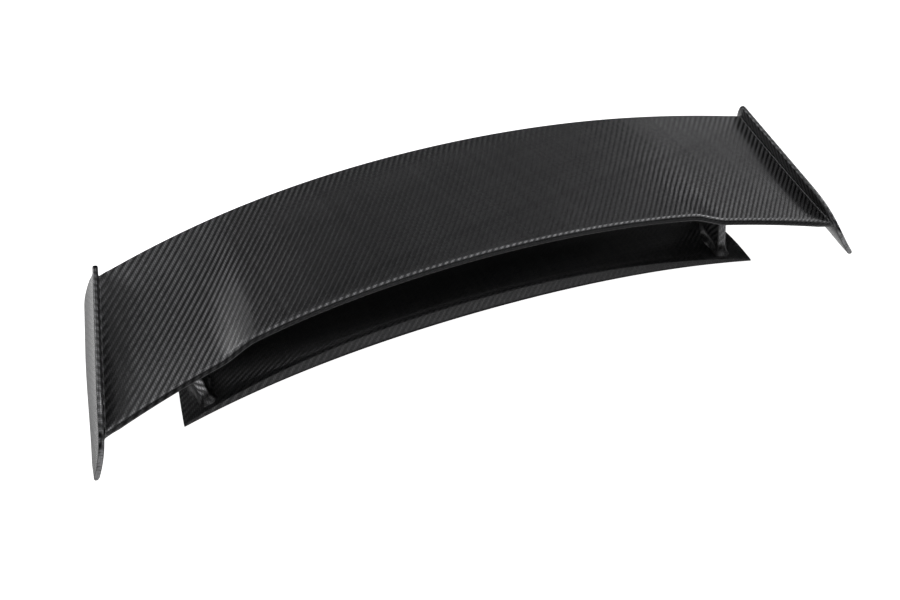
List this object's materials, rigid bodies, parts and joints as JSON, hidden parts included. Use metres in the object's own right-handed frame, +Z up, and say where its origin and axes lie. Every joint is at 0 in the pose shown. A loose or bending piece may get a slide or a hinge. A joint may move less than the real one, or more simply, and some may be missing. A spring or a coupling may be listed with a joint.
{
  "type": "racing rear wing",
  "caption": "Carbon fibre rear wing for a sports coupe: a raised-centre cambered blade on toed uprights over a deck base, with canted swept endplates.",
  "frame": {"origin": "centre of the outer insert pattern, on the base's flat underside", "axes": "+X towards the car's left, +Y rearward, +Z up; the car travels towards -Y"},
  "size_m": [1.4046, 0.4971, 0.2642],
  "materials": {
    "gloss_carbon": "clear-coated 2x2 twill carbon laminate, glossy",
    "raw_carbon": "unlacquered carbon laminate, satin",
    "core_foam": "closed-cell structural foam, matt",
    "plywood": "birch plywood, sealed with resin",
    "alloy": "machined, satin",
    "steel": "zinc-plated, satin",
    "brass": "turned",
    "seal_rubber": "soft, matt"
  },
  "bodies": {
    "root": {"blade_upper_skin": "gloss_carbon", "blade_lower_skin": "gloss_carbon", "blade_nose_core": "core_foam", "blade_front_core": "core_foam", "blade_spar": "raw_carbon", "blade_rear_core": "core_foam", "left_blade_rear_core": "core_foam", "right_blade_rear_core": "core_foam", "left_blade_hardpoint": "alloy", "right_blade_hardpoint": "alloy", "left_end_rib": "alloy", "right_end_rib": "alloy", "left_endplate_outer_skin": "gloss_carbon", "left_endplate_inner_skin": "gloss_carbon", "left_endplate_core": "core_foam", "right_endplate_outer_skin": "gloss_carbon", "right_endplate_inner_skin": "gloss_carbon", "right_endplate_core": "core_foam", "endplate_dowels": "steel", "endplate_set_screws": "steel", "left_upright_inboard_shell": "gloss_carbon", "left_upright_outboard_shell": "gloss_carbon", "left_upright_core": "core_foam", "right_upright_inboard_shell": "gloss_carbon", "right_upright_outboard_shell": "gloss_carbon", "right_upright_core": "core_foam", "upright_spacer_tubes": "alloy", "upright_tie_bolts": "steel", "tie_bolt_washers": "steel", "base_upper_shell": "gloss_carbon", "base_floor_panel": "raw_carbon", "base_core": "core_foam", "left_base_core": "core_foam", "right_base_core": "core_foam", "base_inner_ribs": "plywood", "base_outer_ribs": "plywood", "left_base_hardpoint": "alloy", "right_base_hardpoint": "alloy", "threaded_inserts": "brass", "insert_seals": "seal_rubber", "floor_panel_screws": "steel"}
  },
  "joints": []
}
